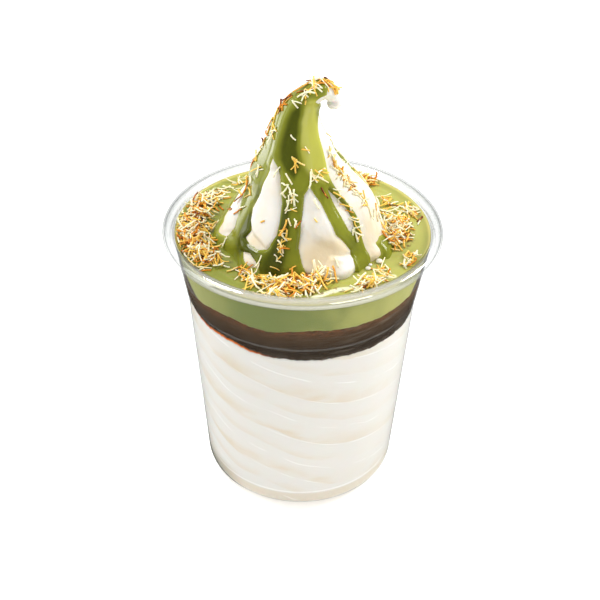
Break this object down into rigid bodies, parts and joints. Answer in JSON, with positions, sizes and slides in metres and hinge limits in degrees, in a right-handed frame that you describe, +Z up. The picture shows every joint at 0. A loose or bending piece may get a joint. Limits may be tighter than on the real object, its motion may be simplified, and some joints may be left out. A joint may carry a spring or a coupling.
{
  "type": "pistachio sundae cup",
  "caption": "Clear cup of vanilla soft serve under chocolate and pistachio layers, with a curled soft-serve peak, poured pistachio sauce and toasted pastry shreds.",
  "frame": {"origin": "the middle of the cup's foot, on the surface that it stands on", "axes": "+Z up along the cup's axis; -Y faces the viewer of the picture; the peak's curl points towards +X"},
  "size_m": [0.098, 0.098, 0.1597],
  "materials": {
    "clear_cup": "clear, smooth and glossy thin plastic",
    "vanilla_soft_serve": "soft, slightly moist ice cream, off white with cream folds",
    "dark_chocolate": "dark chocolate sauce set against the wall, satin",
    "pistachio_sauce": "thick glossy green pistachio cream",
    "toasted_shreds": "crisp toasted shredded pastry, cream to golden and red brown"
  },
  "bodies": {
    "root": {"cup": "clear_cup", "vanilla_base": "vanilla_soft_serve", "chocolate_layer": "dark_chocolate", "pistachio_layer": "pistachio_sauce", "vanilla_swirl": "vanilla_soft_serve", "pistachio_sauce": "pistachio_sauce"}
  },
  "joints": []
}
